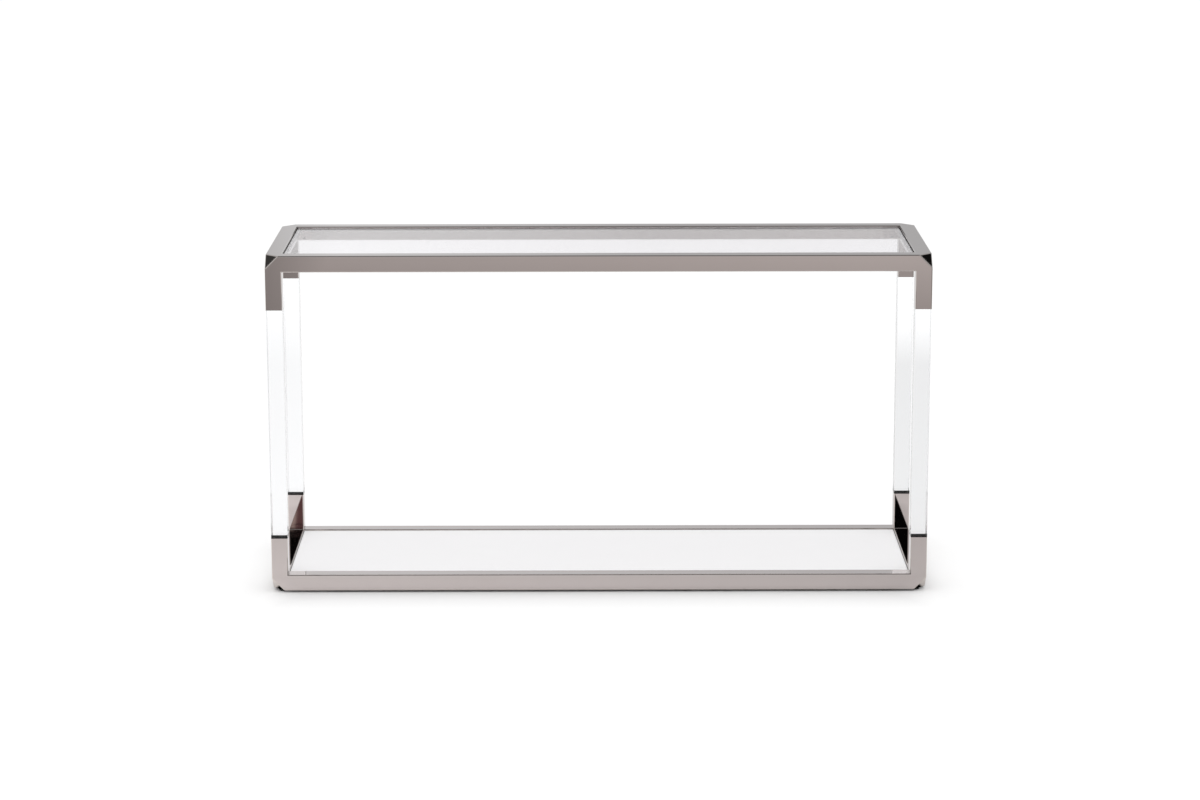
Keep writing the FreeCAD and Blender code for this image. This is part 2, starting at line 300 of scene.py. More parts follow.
TUBE = 38.1 * MM
WALL = 1.6 * MM
CORNER_CUT = 30.0 * MM
EDGE_RADIUS = 2.4 * MM
RIM_RADIUS = 0.4 * MM
FILLET_RADIUS = 1.0 * MM
FILLET_STEPS = 5
FILLET_SINK = 0.02 * MM          # its edges lie this far inside the faces, so that no gap shows
CLOSE = 0.001 * MM               # lengths that differ by less count as the same
SAME_SURFACE = 0.6               # faces whose normals agree by this much run into one another
SCREW_HOLE_RADIUS = 2.6 * MM
SCREW_HOLE_DEPTH = WALL - 0.1 * MM
SCREW_HOLE_SIDES = 32
SCREW_BELOW_RIM = 30.0 * MM      # from the sleeve's open end to the screw
SCREW_SEAT = 6.0 * MM            # half the height of the patch of wall that the hole is cut in

frame_low = Vector(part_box("bottom_left_rail")[0][:1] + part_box("bottom_front_rail")[0][1:])
frame_high = Vector(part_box("top_right_rail")[1][:1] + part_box("top_back_rail")[1][1:])
lower_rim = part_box("front_left_bottom_sleeve")[1].z
upper_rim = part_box("front_left_top_sleeve")[0].z
posts = [(side_x, side_y) for side_x in (-1, 1) for side_y in (-1, 1)]


def post_middle(side_x, side_y):
    """The middle of a leg, in plan."""
    edge_x = frame_high.x if side_x > 0 else frame_low.x
    edge_y = frame_high.y if side_y > 0 else frame_low.y
    return edge_x - side_x * TUBE / 2, edge_y - side_y * TUBE / 2


def corner_name(side_x, side_y):
    """What the CAD model calls a corner, such as front_left."""
    return f"{'back' if side_y > 0 else 'front'}_{'right' if side_x > 0 else 'left'}"


def square_outline(x, y, level, half):
    """The corners of a level square, with half a side to each side of its middle."""
    return [Vector((x + a * half, y + b * half, level)) for a, b in ((-1, -1), (1, -1), (1, 1), (-1, 1))]


def shown(name, mesh, slot, *nodes):
    """Put a finished mesh in the scene as a piece that rides on the table, in place of its CAD nodes."""
    piece = bpy.data.objects.new(name, mesh)
    scene.collection.objects.link(piece)
    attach(piece, "root")
    if nodes:
        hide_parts(*nodes)
    return piece


def cells_to_bmesh(xs, ys, zs, filled):
    """The skin of the filled cells of a grid, as a closed mesh of quads."""
    bm = bmesh.new()
    corners = {}

    def corner(i, j, k):
        if (i, j, k) not in corners:
            corners[i, j, k] = bm.verts.new((xs[i], ys[j], zs[k]))
        return corners[i, j, k]

    sides = {
        (1, 0, 0): ((1, 0, 0), (1, 1, 0), (1, 1, 1), (1, 0, 1)),
        (-1, 0, 0): ((0, 0, 0), (0, 0, 1), (0, 1, 1), (0, 1, 0)),
        (0, 1, 0): ((0, 1, 0), (0, 1, 1), (1, 1, 1), (1, 1, 0)),
        (0, -1, 0): ((0, 0, 0), (1, 0, 0), (1, 0, 1), (0, 0, 1)),
        (0, 0, 1): ((0, 0, 1), (1, 0, 1), (1, 1, 1), (0, 1, 1)),
        (0, 0, -1): ((0, 0, 0), (0, 1, 0), (1, 1, 0), (1, 0, 0)),
    }
    for i, j, k in sorted(filled):
        for step, quad in sides.items():
            if (i + step[0], j + step[1], k + step[2]) not in filled:
                bm.faces.new([corner(i + a, j + b, k + c) for a, b, c in quad])
    return bm


def convex_edges(bm):
    """The edges where two faces turn an outside corner."""
    return [e for e in bm.edges
            if len(e.link_faces) == 2 and e.is_convex and e.calc_face_angle() > math.radians(20)]


def soften(bm, edges, radius, segments):
    """Round edges off. The faces this makes are marked smooth, and all others stay flat."""
    made = bmesh.ops.bevel(bm, geom=edges, offset=radius, offset_type="OFFSET", segments=segments,
                           profile=0.5, affect="EDGES", clamp_overlap=False)
    for face in made["faces"]:
        face.smooth = True


def sink(bm, near, normal, outline, inward, material_index, smooth):
    """Sink a straight hole with this outline into the flat face nearest to a point. Returns the edges
    that the face had."""
    flats = [f for f in bm.faces if not f.smooth and f.normal.dot(normal) > 0.99]
    face = min(flats, key=lambda f: (f.calc_center_median() - near).length)
    outer = list(face.edges)
    bmesh.ops.delete(bm, geom=[face], context="FACES_ONLY")
    mouth = [bm.verts.new(point) for point in outline]
    end = [bm.verts.new(point + inward) for point in outline]
    edges = [bm.edges.new((mouth[i - 1], mouth[i])) for i in range(len(mouth))]
    bmesh.ops.triangle_fill(bm, edges=outer + edges, use_beauty=True)
    inside = [bm.faces.new((mouth[i - 1], mouth[i], end[i], end[i - 1])) for i in range(len(mouth))]
    for side in inside:
        side.smooth = smooth
    inside.append(bm.faces.new(end))
    for side in inside:
        side.material_index = material_index
    return outer


def finished(bm, name, *materials):
    """Hand over the mesh: flat faces are shaded flat, and rounded ones run into them without a seam."""
    bm.normal_update()
    normals = []
    for face in bm.faces:
        for vert in (loop.vert for loop in face.loops):
            near = [f for f in vert.link_faces if f.normal.dot(face.normal) > SAME_SURFACE] or [face]
            flats = [f.normal for f in near if not f.smooth]
            if not face.smooth:
                normals.append(face.normal.copy())
            elif flats:
                normals.append(max(flats, key=face.normal.dot).copy())
            else:
                normals.append(sum((f.normal * f.calc_area() for f in near), Vector()).normalized())
    mesh = bpy.data.meshes.new(name)
    bm.to_mesh(mesh)
    bm.free()
    mesh.normals_split_custom_set(normals)
    for material in materials:
        mesh.materials.append(material)
    return mesh


def fillet(bm, start, end, first, second):
    """The weld metal in an inside corner that runs from start to end. First and second point from it
    along the two faces."""
    ring = []
    for step in range(FILLET_STEPS + 1):
        angle = math.radians(90 * step / FILLET_STEPS)
        offset = first * (1 - math.sin(angle)) + second * (1 - math.cos(angle))
        ring.append(offset * FILLET_RADIUS - (first + second) * FILLET_SINK)
    rows = [[bm.verts.new(place + offset) for offset in ring] for place in (start, end)]
    for step in range(FILLET_STEPS):
        face = bm.faces.new((rows[0][step], rows[0][step + 1], rows[1][step + 1], rows[1][step]))
        face.smooth = True
        face.normal_update()
        if face.normal.dot(first + second) < 0:
            face.normal_flip()


def frame_bmesh(face_level, rim_level):
    """One frame with its four sleeves. face_level is its outer horizontal face, rim_level the sleeves'
    open ends."""
    inward = 1 if rim_level > face_level else -1
    ring_level = face_level + inward * TUBE
    screw_level = rim_level - inward * SCREW_BELOW_RIM
    levels = sorted((face_level, ring_level, screw_level - SCREW_SEAT, screw_level + SCREW_SEAT, rim_level))
    ring, sleeve_layers = (0, (1, 2, 3)) if inward > 0 else (3, (0, 1, 2))
    xs = (frame_low.x, frame_low.x + TUBE, frame_high.x - TUBE, frame_high.x)
    ys = (frame_low.y, frame_low.y + TUBE, frame_high.y - TUBE, frame_high.y)
    filled = {(i, j, ring) for i in range(3) for j in range(3) if (i, j) != (1, 1)}
    filled |= {(i, j, layer) for i in (0, 2) for j in (0, 2) for layer in sleeve_layers}
    bm = cells_to_bmesh(xs, ys, levels, filled)
    for side_x, side_y in posts:
        corner = Vector((frame_high.x if side_x > 0 else frame_low.x,
                         frame_high.y if side_y > 0 else frame_low.y, face_level))
        diagonal = Vector((-side_x, -side_y, inward))
        bmesh.ops.bisect_plane(
            bm, geom=bm.verts[:] + bm.edges[:] + bm.faces[:], dist=1e-7,
            plane_co=corner + diagonal * (CORNER_CUT / 3), plane_no=-diagonal, clear_outer=True)
        bmesh.ops.holes_fill(bm, edges=[e for e in bm.edges if e.is_boundary], sides=0)
    bmesh.ops.recalc_face_normals(bm, faces=bm.faces[:])
    soften(bm, [e for e in convex_edges(bm) if any(abs(v.co.z - rim_level) > CLOSE for v in e.verts)],
           EDGE_RADIUS, segments=4)
    rims = []
    for side_x, side_y in posts:
        x, y = post_middle(side_x, side_y)
        bore = square_outline(x, y, rim_level, TUBE / 2 - WALL)
        rims += sink(bm, Vector((x, y, rim_level)), Vector((0, 0, inward)), bore,
                     Vector((0, 0, ring_level - rim_level)), material_index=1, smooth=False)
        back = Vector((x, y + TUBE / 2, screw_level))
        circle = [back + Vector((math.cos(a), 0, math.sin(a))) * SCREW_HOLE_RADIUS
                  for a in (math.tau * step / SCREW_HOLE_SIDES for step in range(SCREW_HOLE_SIDES))]
        sink(bm, back, Vector((0, 1, 0)), circle, Vector((0, -SCREW_HOLE_DEPTH, 0)), material_index=1,
             smooth=True)
    soften(bm, rims, RIM_RADIUS, segments=2)
    bmesh.ops.recalc_face_normals(bm, faces=bm.faces[:])
    return bm


def frame_fillets(bm, face_level, rim_level):
    """The fillets where each sleeve meets its two rails, and where the two rails meet."""
    inward = 1 if rim_level > face_level else -1
    ring_level = face_level + inward * TUBE
    along_z = Vector((0, 0, inward))
    for side_x, side_y in posts:
        x, y = post_middle(side_x, side_y)
        inner_x, inner_y = x - side_x * TUBE / 2, y - side_y * TUBE / 2
        outer_x, outer_y = x + side_x * TUBE / 2, y + side_y * TUBE / 2
        along_x, along_y = Vector((-side_x, 0, 0)), Vector((0, -side_y, 0))
        fillet(bm, Vector((inner_x, outer_y, ring_level)) + along_y * EDGE_RADIUS,
               Vector((inner_x, inner_y, ring_level)) - along_y * EDGE_RADIUS, along_x, along_z)
        fillet(bm, Vector((outer_x, inner_y, ring_level)) + along_x * EDGE_RADIUS,
               Vector((inner_x, inner_y, ring_level)) - along_x * EDGE_RADIUS, along_y, along_z)
        fillet(bm, Vector((inner_x, inner_y, face_level)) + along_z * EDGE_RADIUS,
               Vector((inner_x, inner_y, ring_level)) - along_z * EDGE_RADIUS, along_x, along_y)


def new_material(name):
    """A new material, its node tree, and the place on the piece as that tree reads it."""
    material = bpy.data.materials.new(name)
    material.use_nodes = True
    tree = material.node_tree
    tree.nodes.clear()
    return material, tree, add(tree, "TexCoord").outputs["Object"]


# Polished nickel plate over buffed steel. It mirrors cleanly. Only fine buffing lines along each tube, a
# soft unevenness from hand work and slightly warmer rounded edges, where buffing thins the plate, break
# the mirror.
nickel, tree, place = new_material("polished_nickel")
height = add(tree, "SeparateXYZ", {"Vector": place}).outputs["Z"]
middle_height = (frame_low.z + frame_high.z) / 2
from_middle = add(tree, "Math", {0: height, 1: middle_height}, operation="SUBTRACT")
from_middle = add(tree, "Math", {0: from_middle}, operation="ABSOLUTE")
on_sleeve = add(tree, "Math", {0: (frame_high.z - frame_low.z) / 2 - TUBE, 1: from_middle},
                operation="GREATER_THAN")
across_rail = add(tree, "Mapping", {"Vector": place, "Scale": (0.02, 1.0, 1.0)})
across_sleeve = add(tree, "Mapping", {"Vector": place, "Scale": (1.0, 1.0, 0.02)})
rail_lines = add(tree, "TexNoise", {"Vector": across_rail, "Scale": 1 / (0.5 * MM), "Detail": 3.0})
sleeve_lines = add(tree, "TexNoise", {"Vector": across_sleeve, "Scale": 1 / (0.5 * MM), "Detail": 3.0})
lines = add(tree, "Mix", {"Factor": on_sleeve, "A": rail_lines, "B": sleeve_lines})
haze = add(tree, "TexNoise", {"Vector": place, "Scale": 1 / (70 * MM), "Detail": 4.0, "Roughness": 0.6})
haze_roughness = add(tree, "MapRange", {"Value": haze, "From Min": 0.35, "From Max": 0.70,
                                        "To Min": 0.008, "To Max": 0.020})
line_roughness = add(tree, "MapRange", {"Value": lines, "From Min": 0.45, "From Max": 0.75,
                                        "To Min": 0.0, "To Max": 0.012})
roughness = add(tree, "Math", {0: haze_roughness, 1: line_roughness}, operation="ADD")
facing = add(tree, "VectorMath", {0: add(tree, "NewGeometry").outputs["Normal"]}, operation="ABSOLUTE")
facing = add(tree, "SeparateXYZ", {"Vector": facing})
most = add(tree, "Math", {0: facing.outputs["X"], 1: facing.outputs["Y"]}, operation="MAXIMUM")
most = add(tree, "Math", {0: most, 1: facing.outputs["Z"]}, operation="MAXIMUM")
on_edge = add(tree, "MapRange", {"Value": most, "From Min": 0.995, "From Max": 0.93})
tint = add(tree, "Mix", {0: haze, 6: linear("c4bbb9"), 7: linear("c8bfbd")}, data_type="RGBA").outputs[2]
tint = add(tree, "Mix", {0: on_edge, 6: tint, 7: linear("c9c1bc")}, data_type="RGBA").outputs[2]
dents = add(tree, "TexNoise", {"Vector": place, "Scale": 1 / (45 * MM), "Detail": 1.0})
wave = add(tree, "Bump", {"Height": dents, "Strength": 0.008, "Distance": 2 * MM})
plate = add(tree, "BsdfPrincipled", {"Base Color": tint, "Metallic": 1.0, "Roughness": roughness,
                                     "Normal": wave})
add(tree, "OutputMaterial", {"Surface": plate})

# Bare steel inside the bores, scaly from welding and coloured near black: partly its own dark scale, partly
# painted shade down the deep bore.
shaded_bore_steel, tree, place = new_material("scaled_steel_bore_painted_shade")
scale = add(tree, "TexNoise", {"Vector": place, "Scale": 1 / (6 * MM), "Detail": 5.0, "Roughness": 0.7})
tint = add(tree, "Mix", {0: scale, 6: linear("060505"), 7: linear("1a1512")}, data_type="RGBA").outputs[2]
roughness = add(tree, "MapRange", {"Value": scale, "To Min": 0.6, "To Max": 0.9})
plate = add(tree, "BsdfPrincipled", {"Base Color": tint, "Metallic": 0.6, "Roughness": roughness})
add(tree, "OutputMaterial", {"Surface": plate})

for level_name, face_level, rim_level in (("top", frame_high.z, upper_rim),
                                          ("bottom", frame_low.z, lower_rim)):
    replaced = [f"{level_name}_{side}_rail" for side in ("front", "back", "left", "right")]
    for side_y in (-1, 1):
        for side_x in (-1, 1):
            corner = f"{corner_name(side_x, side_y)}_{level_name}"
            replaced += [f"{corner}_sleeve", f"{corner}_corner_plate"]
    bm = frame_bmesh(face_level, rim_level)
    frame_fillets(bm, face_level, rim_level)
    shown(f"{level_name}_frame", finished(bm, f"{level_name}_frame", nickel, shaded_bore_steel),
          "polished_nickel", *replaced)


# ---------------------------------------------------------------------------------------------------
# Acrylic posts
# Each post is milled from one solid bar of clear cast acrylic: full section between the rims, cut down
# at both ends to a tenon that slides into the sleeve. What shows of it is flame polished until it is
# clear. The tenon, the shoulders and a band round the foot are coloured black as painted shade, for the
# dark inside of the sleeve seen through the post.

TENON_INSET = 1.9 * MM
SHOULDER_GAP = 0.05 * MM
POST_EDGE_RADIUS = 2.4 * MM
PAINTED_SHADE_LINE = 1.5 * MM              # how far the painted shade stands up round the foot of the post


def let_light_through(tree, surface, share):
    """Finish a clear material. This share of the light that shades other pieces passes straight through."""
    path = add(tree, "LightPath")
    unseen = add(tree, "Math", {0: path.outputs["Is Shadow Ray"], 1: path.outputs["Is Diffuse Ray"]},
                 operation="MAXIMUM")
    open_way = add(tree, "BsdfTransparent", {"Color": (share, share, share, 1.0)})
    add(tree, "OutputMaterial", {"Surface": add(tree, "MixShader", {0: unseen, 1: surface, 2: open_way})})


# Flame-polished cast acrylic: as clear as glass and almost colourless. Faint upright wipe marks and a
# slow ripple from the flame bend what shows through it a little. Light passes it, so it hardly shades.
acrylic, tree, place = new_material("polished_acrylic")
along = add(tree, "Mapping", {"Vector": place, "Scale": (1.0, 1.0, 0.05)})
wipes = add(tree, "TexNoise", {"Vector": along, "Scale": 1 / (1.5 * MM), "Detail": 4.0, "Roughness": 0.7})
roughness = add(tree, "MapRange", {"Value": wipes, "From Min": 0.60, "From Max": 0.85,
                                   "To Min": 0.0, "To Max": 0.012})
ripple = add(tree, "TexNoise", {"Vector": along, "Scale": 1 / (30 * MM), "Detail": 0.0})
ripple = add(tree, "Bump", {"Height": ripple, "Strength": 0.02, "Distance": 1 * MM})
body = add(tree, "TexNoise", {"Vector": place, "Scale": 1 / (90 * MM), "Detail": 1.0})
tint = add(tree, "Mix", {0: body, 6: linear("fdfdfe"), 7: linear("fbfcfd")}, data_type="RGBA").outputs[2]
clear = add(tree, "BsdfPrincipled", {"Base Color": tint, "Roughness": roughness, "IOR": 1.49,
                                     "Transmission Weight": 1.0, "Normal": ripple})
let_light_through(tree, clear, 0.97)

# Painted shade, near black, dull and slightly lumpy: it stands for the dark sleeve seen at each post's
# foot.
painted_shade_black, tree, place = new_material("black_painted_shade")
lumps = add(tree, "TexNoise", {"Vector": place, "Scale": 1 / (3 * MM), "Detail": 3.0})
tint = add(tree, "Mix", {0: lumps, 6: linear("020202"), 7: linear("070606")}, data_type="RGBA").outputs[2]
roughness = add(tree, "MapRange", {"Value": lumps, "To Min": 0.7, "To Max": 0.95})
shade_coat = add(tree, "BsdfPrincipled", {"Base Color": tint, "Roughness": roughness, "IOR": 1.55,
                                     "Specular IOR Level": 0.05})
add(tree, "OutputMaterial", {"Surface": shade_coat})


def block(bm, low, high):
    """Add a box between its lowest and highest corners."""
    low, high = Vector(low), Vector(high)
    bmesh.ops.create_cube(
        bm, size=1.0, matrix=Matrix.Translation((low + high) / 2) @ Matrix.Diagonal((*(high - low), 1.0)))


def upright(edge):
    """Whether an edge rises."""
    return abs(edge.verts[0].co.z - edge.verts[1].co.z) > CLOSE


for side_x, side_y in posts:
    x, y = post_middle(side_x, side_y)
    name = f"{corner_name(side_x, side_y)}_post"
    cad_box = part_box(name)
    shoulders = (lower_rim + SHOULDER_GAP, upper_rim - SHOULDER_GAP)
    half = TUBE / 2
    bm = bmesh.new()
    block(bm, (x - half, y - half, shoulders[0]), (x + half, y + half, shoulders[1]))
    bm.normal_update()
    soften(bm, [e for e in convex_edges(bm) if upright(e)], POST_EDGE_RADIUS, segments=4)
    bmesh.ops.bisect_plane(bm, geom=bm.verts[:] + bm.edges[:] + bm.faces[:], dist=1e-7,
                           plane_co=(0, 0, lower_rim + PAINTED_SHADE_LINE), plane_no=(0, 0, 1))
    half -= TENON_INSET
    for shoulder, end, out in zip(shoulders, (cad_box[0].z, cad_box[1].z), (-1, 1)):
        bm.normal_update()
        sink(bm, Vector((x, y, shoulder)), Vector((0, 0, out)), square_outline(x, y, shoulder, half),
             Vector((0, 0, end - shoulder)), material_index=1, smooth=False)
    # Painted shade: the level faces and a band round the foot of the post take the black.
    for face in bm.faces:
        if abs(face.normal.z) > 0.99 or face.calc_center_median().z < lower_rim + PAINTED_SHADE_LINE:
            face.material_index = 1
    bmesh.ops.recalc_face_normals(bm, faces=bm.faces[:])
    shown(f"{name}_acrylic", finished(bm, name, acrylic, painted_shade_black), "clear_acrylic", name)


# ---------------------------------------------------------------------------------------------------
# Grub screws
# A steel grub screw with a hexagon socket goes through the back wall of each sleeve into the tenon and
# locks it there. It is turned and rolled, blackened, and sits just below the face of the sleeve.

SCREW_RADIUS = 2.5 * MM
SCREW_LENGTH = 10 * MM
SCREW_RECESS = 0.2 * MM
SCREW_SIDES = 30
SOCKET_RADIUS = 2.5 * MM / math.sqrt(3)
SOCKET_DEPTH = 3 * MM


def turned(bm, origin, axis, profile, sides):
    """Add a turned body. The profile gives distances along the axis with the radius at each."""
    across = axis.orthogonal().normalized()
    over = axis.cross(across)
    rings = []
    for distance, radius in profile:
        rings.append([bm.verts.new(origin + axis * distance
                                   + (across * math.cos(a) + over * math.sin(a)) * radius)
                      for a in (math.tau * step / sides for step in range(sides))])
    for lower, upper in zip(rings, rings[1:]):
        for i in range(sides):
            bm.faces.new((lower[i - 1], lower[i], upper[i], upper[i - 1])).smooth = True
    for ring in (rings[0], rings[-1]):
        bm.faces.new(ring)


# Black oxide over steel, worn back to grey where the key has turned in it.
black_oxide, tree, place = new_material("black_oxide_steel")
wear = add(tree, "TexNoise", {"Vector": place, "Scale": 1 / (0.8 * MM), "Detail": 4.0, "Roughness": 0.7})
worn = add(tree, "MapRange", {"Value": wear, "From Min": 0.58, "From Max": 0.72})
tint = add(tree, "Mix", {0: worn, 6: linear("1f1e1e"), 7: linear("6b6866")}, data_type="RGBA").outputs[2]
roughness = add(tree, "MapRange", {"Value": wear, "From Min": 0.3, "From Max": 0.7,
                                   "To Min": 0.32, "To Max": 0.55})
skin = add(tree, "BsdfPrincipled", {"Base Color": tint, "Metallic": 1.0, "Roughness": roughness})
add(tree, "OutputMaterial", {"Surface": skin})

# Distance in from the mouth, and radius there: a small chamfer, the shank and a cone point.
profile = ((0, 2.1 * MM), (0.3 * MM, 2.42 * MM), (0.6 * MM, SCREW_RADIUS), (8.6 * MM, SCREW_RADIUS),
           (SCREW_LENGTH - 0.05 * MM, 1.3 * MM))
bm = bmesh.new()
for side_x, side_y in posts:
    x, y = post_middle(side_x, side_y)
    for level in (lower_rim - SCREW_BELOW_RIM, upper_rim + SCREW_BELOW_RIM):
        mouth = Vector((x, y + TUBE / 2 - SCREW_RECESS, level))
        turned(bm, mouth, Vector((0, -1, 0)), profile, SCREW_SIDES)
        bmesh.ops.recalc_face_normals(bm, faces=bm.faces[:])
        hexagon = [mouth + Vector((math.cos(a), 0, math.sin(a))) * SOCKET_RADIUS
                   for a in (math.radians(60 * step) for step in range(6))]
        sink(bm, mouth, Vector((0, 1, 0)), hexagon, Vector((0, -SOCKET_DEPTH, 0)), material_index=0,
             smooth=False)
bmesh.ops.recalc_face_normals(bm, faces=bm.faces[:])
shown("grub_screws", finished(bm, "grub_screws", black_oxide), "screw_steel", "post_screws")


# ---------------------------------------------------------------------------------------------------
# Glides
# A push-in glide under each corner keeps the frame off the floor. It is moulded in black nylon, with a
# rounded foot and a ribbed stem that grips the hole through the two rails.

# Moulded nylon: matt and finely grained, rubbed shinier in places.
black_nylon, tree, place = new_material("moulded_black_nylon")
grain = add(tree, "TexNoise", {"Vector": place, "Scale": 1 / (0.35 * MM), "Detail": 3.0})
rubbed = add(tree, "TexNoise", {"Vector": place, "Scale": 1 / (5 * MM), "Detail": 3.0})
tint = add(tree, "Mix", {0: rubbed, 6: linear("121212"), 7: linear("212021")}, data_type="RGBA").outputs[2]
roughness = add(tree, "MapRange", {"Value": rubbed, "From Min": 0.3, "From Max": 0.7,
                                   "To Min": 0.62, "To Max": 0.42})
relief = add(tree, "Bump", {"Height": grain, "Strength": 0.3, "Distance": 0.05 * MM})
nylon = add(tree, "BsdfPrincipled", {"Base Color": tint, "Roughness": roughness, "IOR": 1.53,
                                     "Normal": relief})
add(tree, "OutputMaterial", {"Surface": nylon})

GLIDE_SIDES = 48
RIBS = 5
RIB_SPACING = 2.4

# Heights above the floor and radii there, in millimetres.
foot = [(0.0, 8.9), (0.25, 9.5), (0.8, 9.9), (1.4, 10.0), (3.6, 10.0), (4.1, 9.85), (4.4, 9.5), (4.48, 9.1)]
stem = [(4.48, 3.0)]
for rise in (RIB_SPACING * rib for rib in range(RIBS)):
    stem += [(5.6 + rise, 3.0), (6.0 + rise, 2.6), (7.6 + rise, 2.6)]
stem += [(17.8, 3.0), (18.5, 2.2)]
profile = [(height * MM, radius * MM) for height, radius in foot + stem]
for side_x, side_y in posts:
    name = f"{corner_name(side_x, side_y)}_glide"
    low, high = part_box(name)
    on_floor = Vector(((low.x + high.x) / 2, (low.y + high.y) / 2, low.z))
    bm = bmesh.new()
    turned(bm, on_floor, Vector((0, 0, 1)), profile, GLIDE_SIDES)
    bmesh.ops.recalc_face_normals(bm, faces=bm.faces[:])
    shown(f"{name}_nylon", finished(bm, name, black_nylon), "black_nylon", name)


# ---------------------------------------------------------------------------------------------------
# Ledges
# Flat steel bars inside both frames carry the glass and the shelf. They are sheared from bar, brushed,
# and stitch-welded to the rails along their undersides.

END_BAR_REACH = 9.1 * MM         # just over the width of the bars at the table's ends

# Satin steel: brushed along each bar, which streaks its sheen, and a little darker in patches.
satin_steel, tree, place = new_material("satin_steel")
reach = add(tree, "SeparateXYZ", {"Vector": add(tree, "VectorMath", {0: place}, operation="ABSOLUTE")})
on_end_bar = add(tree, "Math", {0: reach.outputs["X"], 1: frame_high.x - TUBE - END_BAR_REACH},
                 operation="GREATER_THAN")
long_way = add(tree, "Mapping", {"Vector": place, "Scale": (0.01, 1.0, 1.0)})
short_way = add(tree, "Mapping", {"Vector": place, "Scale": (1.0, 0.01, 1.0)})
long_brush = add(tree, "TexNoise", {"Vector": long_way, "Scale": 1 / (0.25 * MM), "Detail": 4.0})
short_brush = add(tree, "TexNoise", {"Vector": short_way, "Scale": 1 / (0.25 * MM), "Detail": 4.0})
brush = add(tree, "Mix", {"Factor": on_end_bar, "A": long_brush, "B": short_brush})
patches = add(tree, "TexNoise", {"Vector": place, "Scale": 1 / (40 * MM), "Detail": 3.0})
tint = add(tree, "Mix", {0: patches, 6: linear("a8a3a0"), 7: linear("bdb8b5")}, data_type="RGBA").outputs[2]
roughness = add(tree, "MapRange", {"Value": brush, "From Min": 0.3, "From Max": 0.7,
                                   "To Min": 0.28, "To Max": 0.40})
relief = add(tree, "Bump", {"Height": brush, "Strength": 0.05, "Distance": 0.02 * MM})
brushed = add(tree, "BsdfPrincipled", {"Base Color": tint, "Metallic": 1.0, "Roughness": roughness,
                                       "Normal": relief})
add(tree, "OutputMaterial", {"Surface": brushed})

# Weld metal: the same steel with its rippled skin left on, straw and grey from the heat.
weld_steel, tree, place = new_material("rippled_weld_steel")
heat = add(tree, "TexNoise", {"Vector": place, "Scale": 1 / (3 * MM), "Detail": 3.0})
tint = add(tree, "Mix", {0: heat, 6: linear("7d7873"), 7: linear("a39a8b")}, data_type="RGBA").outputs[2]
roughness = add(tree, "MapRange", {"Value": heat, "From Min": 0.3, "From Max": 0.7,
                                   "To Min": 0.3, "To Max": 0.55})
rippled = add(tree, "BsdfPrincipled", {"Base Color": tint, "Metallic": 1.0, "Roughness": roughness})
add(tree, "OutputMaterial", {"Surface": rippled})

BEAD_LENGTH = 24 * MM
BEAD_THROAT = 2.4 * MM
BEAD_STEPS = 66                  # along the bead
BEAD_SIDES = 5                   # of its round, from the ledge to the rail
RIPPLE = 1.1 * MM


def weld_bead(bm, middle, along, out):
    """A short rippled bead in the corner under a ledge. Out points from the rail into the table."""
    under = Vector((0, 0, -1))
    rows = []
    for step in range(BEAD_STEPS + 1):
        place = (step / BEAD_STEPS - 0.5) * BEAD_LENGTH
        taper = math.sqrt(max(0.0, 1 - (2 * place / BEAD_LENGTH) ** 4))
        radius = BEAD_THROAT * (0.12 + 0.80 * taper + 0.08 * taper * math.cos(math.tau * place / RIPPLE))
        root = middle + along * place
        rows.append([bm.verts.new(root + (out * math.sin(a) + under * math.cos(a)) * radius)
                     for a in (math.radians(90 * side / BEAD_SIDES) for side in range(BEAD_SIDES + 1))])
    for first, second in zip(rows, rows[1:]):
        for i in range(BEAD_SIDES):
            face = bm.faces.new((first[i], first[i + 1], second[i + 1], second[i]))
            face.smooth = True
            face.normal_update()
            if face.normal.dot(out + under) < 0:
                face.normal_flip()


for level_name in ("top", "bottom"):
    bm = bmesh.new()
    for side_name, out, beads in (("front", Vector((0, 1, 0)), 7), ("back", Vector((0, -1, 0)), 7),
                                  ("left", Vector((1, 0, 0)), 2), ("right", Vector((-1, 0, 0)), 2)):
        name = f"{level_name}_{side_name}_ledge"
        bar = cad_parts[name]
        bar.data.materials.clear()
        bar.data.materials.append(satin_steel)
        low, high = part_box(name)
        along = Vector((abs(out.y), abs(out.x), 0))
        middle = Vector(((low.x + high.x) / 2, (low.y + high.y) / 2, low.z))
        root = middle - out * (abs(out.dot(high - low)) / 2)
        for bead in range(beads):
            place = along.dot(high - low) * ((bead + 0.5) / beads - 0.5)
            weld_bead(bm, root + along * place, along, out)
    shown(f"{level_name}_ledge_welds", finished(bm, f"{level_name}_ledge_welds", weld_steel), "satin_steel")


# ---------------------------------------------------------------------------------------------------
# Pads
# Small square pads between each ledge and the panel that lies on it keep glass off steel. They are
# stamped from clear silicone sheet, with rounded corners, and stick by themselves.

PAD = 7 * MM
PAD_CORNER = 1.3 * MM
PAD_EDGE = 0.25 * MM
PADS_ALONG = {"front": 5, "back": 5, "left": 2, "right": 2}
CONTACT_GAP = 0.05 * MM

